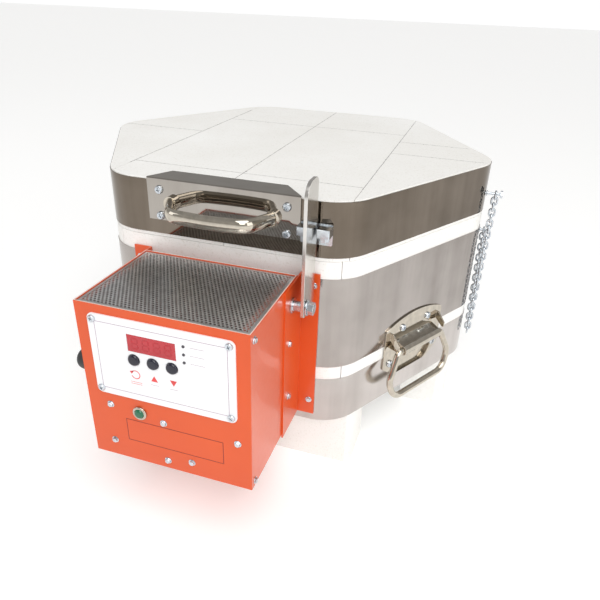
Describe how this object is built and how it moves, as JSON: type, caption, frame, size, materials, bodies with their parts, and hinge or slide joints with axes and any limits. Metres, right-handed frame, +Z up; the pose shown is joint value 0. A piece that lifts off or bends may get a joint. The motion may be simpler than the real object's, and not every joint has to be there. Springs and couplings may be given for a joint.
{
  "type": "pottery kiln",
  "caption": "Small hexagonal top-loading electric kiln of firebrick in steel bands, with a hinged lid, chest handles, lid chain and a front control box.",
  "frame": {"origin": "centre of the underside of the floor slab, on the kiln's upright axis; the brick feet reach down to z -0.0635", "axes": "+Z up; the control box and lid handle face -Y; the hinge is at +Y; +X is to the right seen from the front"},
  "size_m": [0.4547, 0.5223, 0.314],
  "materials": {
    "firebrick": "soft insulating firebrick, cream white, dry, finely pored",
    "body_sheet": "bright annealed stainless sheet, nearly mirror",
    "lid_sheet": "bright annealed stainless sheet, darker, nearly mirror",
    "polished_plate": "polished steel plate",
    "nickel": "nickel plated, polished",
    "zinc": "bright zinc plated",
    "orange_paint": "glossy orange powder coat",
    "grille": "perforated sheet, grey",
    "panel_print": "white printed faceplate, satin",
    "display_red": "dark red display window and lamps",
    "button_black": "black domed button",
    "pilot_green": "green pilot lens",
    "black_plastic": "black moulded plastic",
    "pale_plastic": "pale ceramic-like terminal block",
    "circuit_board": "green circuit board",
    "wire_sleeve": "woven glass sleeving over copper wire",
    "element_wire": "oxidised resistance alloy",
    "probe_sheath": "ceramic sheath"
  },
  "bodies": {
    "root": {"brick_feet": "firebrick", "floor_bricks": "firebrick", "wall_brick_front": "firebrick", "wall_brick_right_front": "firebrick", "wall_brick_right_back": "firebrick", "wall_brick_back": "firebrick", "wall_brick_left_back": "firebrick", "wall_brick_left_front": "firebrick", "bottom_band": "body_sheet", "body_band": "body_sheet", "heating_element": "element_wire", "element_terminals": "element_wire", "thermocouple": "probe_sheath", "hinge_body_leaf": "zinc", "hinge_pin": "zinc", "body_screws": "zinc", "handle_plate_right": "nickel", "handle_plate_left": "nickel", "handle_screws": "zinc", "chain_bolt_body": "zinc", "box_chassis": "orange_paint", "box_front": "orange_paint", "box_back": "orange_paint", "box_grille": "grille", "bracket_right": "orange_paint", "bracket_left": "orange_paint", "box_screws": "zinc", "faceplate": "panel_print", "faceplate_screws": "zinc", "display_window": "display_red", "status_lamps": "display_red", "pilot_bezel": "nickel", "pilot_lens": "pilot_green", "controller_board": "circuit_board", "relay": "black_plastic", "terminal_block": "pale_plastic", "hookup_wires": "wire_sleeve", "cord_gland": "black_plastic", "pivot_bolt": "zinc", "pivot_hardware": "zinc"},
    "lid": {"lid_bricks_left": "firebrick", "lid_bricks_centre_left": "firebrick", "lid_bricks_centre_right": "firebrick", "lid_bricks_right": "firebrick", "lid_band": "lid_sheet", "lid_handle_plate": "polished_plate", "lid_handle": "nickel", "keeper_bracket": "zinc", "keeper_nuts": "zinc", "lid_bolts": "zinc", "hinge_lid_leaf": "zinc", "chain_bolt_lid": "zinc"},
    "chain_upper": {"chain_upper": "zinc"},
    "chain_lower": {"chain_lower": "zinc"},
    "prop_arm": {"prop_arm": "polished_plate"},
    "bail_right": {"bail_right": "nickel"},
    "bail_left": {"bail_left": "nickel"},
    "button_left": {"button_left": "button_black"},
    "button_middle": {"button_middle": "button_black"},
    "button_right": {"button_right": "button_black"}
  },
  "joints": [
    {"name": "lid_hinge", "type": "hinge", "parent": "root", "child": "lid", "pos_m": [0, 0.2008, 0.1727], "axis": [-1, 0, 0], "range_deg": [0, 85]},
    {"name": "chain_upper_swing", "type": "hinge", "parent": "lid", "child": "chain_upper", "pos_m": [0.2286, -0.006, 0.195], "axis": [1, 0, 0], "range_deg": [0, 45]},
    {"name": "chain_lower_swing", "type": "hinge", "parent": "root", "child": "chain_lower", "pos_m": [0.2236, 0.005, 0.15], "axis": [1, 0, 0], "range_deg": [0, 140]},
    {"name": "prop_arm_pivot", "type": "hinge", "parent": "root", "child": "prop_arm", "pos_m": [0.0868, -0.224, 0.1415], "axis": [1, 0, 0], "range_deg": [0, 100]},
    {"name": "bail_right_swing", "type": "hinge", "parent": "root", "child": "bail_right", "pos_m": [0.17927, -0.1035, 0.058], "axis": [-0.5, -0.866, 0], "range_deg": [0, 84]},
    {"name": "bail_left_swing", "type": "hinge", "parent": "root", "child": "bail_left", "pos_m": [-0.17927, -0.1035, 0.058], "axis": [-0.5, 0.866, 0], "range_deg": [0, 84]},
    {"name": "button_left_press", "type": "slide", "parent": "root", "child": "button_left", "axis": [0, 1, 0], "range_m": [0, 0.001], "stiffness_N_per_m": 300, "springref_m": -0.001},
    {"name": "button_middle_press", "type": "slide", "parent": "root", "child": "button_middle", "axis": [0, 1, 0], "range_m": [0, 0.001], "stiffness_N_per_m": 300, "springref_m": -0.001},
    {"name": "button_right_press", "type": "slide", "parent": "root", "child": "button_right", "axis": [0, 1, 0], "range_m": [0, 0.001], "stiffness_N_per_m": 300, "springref_m": -0.001}
  ],
  "couplings": [
    {"joint": "chain_upper_swing", "follows": "lid_hinge", "ratio": 0.51851},
    {"joint": "chain_lower_swing", "follows": "lid_hinge", "ratio": 1.6361}
  ]
}
